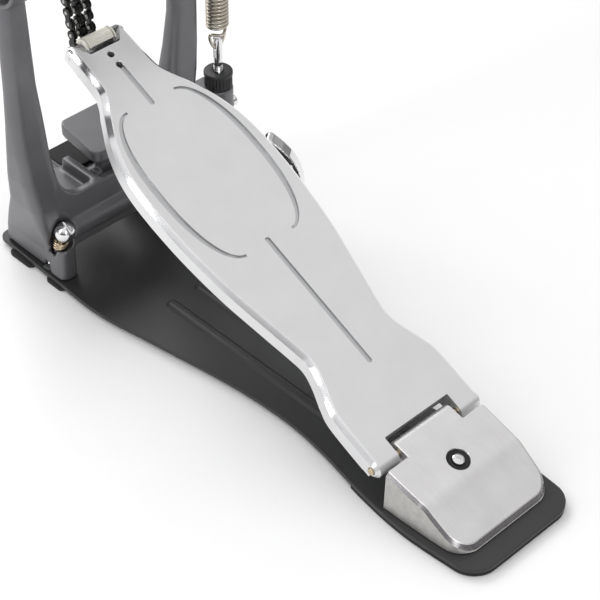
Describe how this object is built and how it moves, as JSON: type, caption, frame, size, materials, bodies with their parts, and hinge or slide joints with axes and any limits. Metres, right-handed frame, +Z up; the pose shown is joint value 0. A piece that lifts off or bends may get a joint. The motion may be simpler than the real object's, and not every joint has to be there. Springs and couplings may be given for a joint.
{
  "type": "bass drum pedal",
  "caption": "Single bass drum pedal with a long silver footboard, black duplex chain, dark grey yoke, side wing-bolt hoop clamp and felt beater.",
  "frame": {"origin": "On the floor, under the middle of the heel plate; the base plate's rubber pads stand on z = 0.", "axes": "+X the player's right, +Y from the heel towards the drum, +Z up"},
  "size_m": [0.154, 0.3645, 0.3806],
  "materials": {
    "satin_silver": "satin anodised, fine grain",
    "heel_silver": "satin blasted",
    "black_steel": "charcoal powder coat, satin",
    "grey_casting": "dark grey satin paint",
    "rubber": "matt moulded",
    "chrome": "polished",
    "bright_steel": "drawn bright",
    "brassy_steel": "zinc passivated",
    "black_plastic": "matt moulded",
    "black_chain": "black oxide, slightly oiled",
    "roller_silver": "satin, fine ribs",
    "felt": "pressed felt"
  },
  "bodies": {
    "frame": {"base_plate": "black_steel", "heel_pad": "rubber", "toe_pad_rear_left": "rubber", "toe_pad_rear_right": "rubber", "toe_pad_front_left": "rubber", "toe_pad_front_right": "rubber", "yoke_casting": "grey_casting", "heel_plate": "heel_silver", "heel_washer": "rubber", "heel_screw": "chrome", "hinge_pin": "brassy_steel", "bearing_left": "bright_steel", "bearing_right": "bright_steel", "bracket_screw": "chrome", "lock_nut": "chrome", "clamp_pin": "bright_steel", "clamp_seat_pad": "rubber"},
    "footboard": {"footboard": "satin_silver", "toe_pin": "bright_steel", "chain_anchor": "black_steel", "anchor_screw_1": "chrome", "anchor_screw_2": "chrome"},
    "toe_roller": {"toe_roller": "roller_silver"},
    "beater_axle": {"axle": "bright_steel", "cam": "grey_casting", "beater_screw": "chrome", "rocker_arm": "grey_casting", "chain_link_15": "black_chain", "chain_link_16": "black_chain", "chain_link_17": "black_chain"},
    "chain_t4": {"chain_link_14": "black_chain"},
    "chain_t3": {"chain_link_13": "black_chain"},
    "chain_t2": {"chain_link_12": "black_chain"},
    "chain_t1": {"chain_link_11": "black_chain"},
    "chain_run": {"chain_link_01": "black_chain", "chain_link_02": "black_chain", "chain_link_03": "black_chain", "chain_link_04": "black_chain", "chain_link_05": "black_chain", "chain_link_06": "black_chain", "chain_link_07": "black_chain", "chain_link_08": "black_chain", "chain_link_09": "black_chain", "chain_link_10": "black_chain"},
    "beater": {"beater_rod": "chrome", "beater_felt": "felt", "beater_hub": "black_plastic"},
    "tension_knob": {"tension_knob": "black_plastic"},
    "eye_bolt": {"eye_bolt": "chrome", "extension_spring": "bright_steel"},
    "spring_top": {"spring_stirrup": "chrome"},
    "wing_bolt": {"wing_bolt": "chrome", "wing_collar": "black_plastic"},
    "clamp_jaw": {"clamp_jaw": "grey_casting"},
    "spur_left": {"spur_screw_left": "chrome", "spur_spring_left": "brassy_steel"},
    "spur_right": {"spur_screw_right": "chrome", "spur_spring_right": "brassy_steel"}
  },
  "joints": [
    {"name": "beater_axle", "type": "hinge", "parent": "frame", "child": "beater_axle", "pos_m": [0, 0.263, 0.206], "axis": [-1, 0, 0], "range_deg": [0, 45], "stiffness_Nm_per_rad": 0.4, "springref_deg": -57.01},
    {"name": "footboard_hinge", "type": "hinge", "parent": "frame", "child": "footboard", "pos_m": [0, 0.0237, 0.0264], "axis": [-1, 0, 0], "range_deg": [0, 5.43]},
    {"name": "toe_roller_spin", "type": "hinge", "parent": "footboard", "child": "toe_roller", "pos_m": [0, 0.26877, 0.14116], "axis": [1, 0, 0], "continuous": true},
    {"name": "chain_t4_hinge", "type": "hinge", "parent": "beater_axle", "child": "chain_t4", "pos_m": [0, 0.28622, 0.22499], "axis": [-1, 0, 0], "range_deg": [-11.83, 0]},
    {"name": "chain_t3_hinge", "type": "hinge", "parent": "chain_t4", "child": "chain_t3", "pos_m": [0, 0.28981, 0.21946], "axis": [-1, 0, 0], "range_deg": [-11.83, 0]},
    {"name": "chain_t2_hinge", "type": "hinge", "parent": "chain_t3", "child": "chain_t2", "pos_m": [0, 0.29211, 0.21327], "axis": [-1, 0, 0], "range_deg": [-11.83, 0]},
    {"name": "chain_t1_hinge", "type": "hinge", "parent": "chain_t2", "child": "chain_t1", "pos_m": [0, 0.29299, 0.20673], "axis": [-1, 0, 0], "range_deg": [-11.83, 0]},
    {"name": "chain_run_hinge", "type": "hinge", "parent": "chain_t1", "child": "chain_run", "pos_m": [0, 0.29242, 0.20015], "axis": [-1, 0, 0], "range_deg": [-5.92, 0]},
    {"name": "beater_height", "type": "slide", "parent": "beater_axle", "child": "beater", "axis": [0, -0.6691, 0.7431], "range_m": [0, 0.012]},
    {"name": "tension_knob_turn", "type": "hinge", "parent": "frame", "child": "tension_knob", "pos_m": [0.076, 0.258, 0.088], "axis": [0, 0, 1], "range_deg": [0, 360]},
    {"name": "eye_bolt_slide", "type": "slide", "parent": "frame", "child": "eye_bolt", "axis": [0, 0, 1], "range_m": [0, 0.001]},
    {"name": "spring_top_slide", "type": "slide", "parent": "eye_bolt", "child": "spring_top", "axis": [0, -0.8127, 0.5826], "range_m": [0, 0.01685], "deforming": ["extension_spring"]},
    {"name": "wing_bolt_turn", "type": "hinge", "parent": "frame", "child": "wing_bolt", "pos_m": [0.074, 0.198, 0.06], "axis": [0.5484, -0.7416, 0.3864], "range_deg": [-720, 720]},
    {"name": "clamp_jaw_hinge", "type": "hinge", "parent": "frame", "child": "clamp_jaw", "pos_m": [0, 0.27, 0.0546], "axis": [-1, 0, 0], "range_deg": [-8, 8]},
    {"name": "spur_left_screw", "type": "slide", "parent": "frame", "child": "spur_left", "axis": [0, 0.4384, -0.8988], "range_m": [0, 0.006]},
    {"name": "spur_right_screw", "type": "slide", "parent": "frame", "child": "spur_right", "axis": [0, 0.4384, -0.8988], "range_m": [0, 0.006]}
  ],
  "couplings": [
    {"joint": "footboard_hinge", "follows": "beater_axle", "ratio": 0.12069},
    {"joint": "chain_t4_hinge", "follows": "beater_axle", "ratio": -0.26285},
    {"joint": "chain_t3_hinge", "follows": "beater_axle", "ratio": -0.26285},
    {"joint": "chain_t2_hinge", "follows": "beater_axle", "ratio": -0.26285},
    {"joint": "chain_t1_hinge", "follows": "beater_axle", "ratio": -0.26285},
    {"joint": "chain_run_hinge", "follows": "beater_axle", "ratio": -0.13143},
    {"joint": "spring_top_slide", "follows": "beater_axle", "m_per_rad": 0.021439},
    {"joint": "clamp_jaw_hinge", "follows": "wing_bolt_turn", "ratio": 0.011}
  ]
}
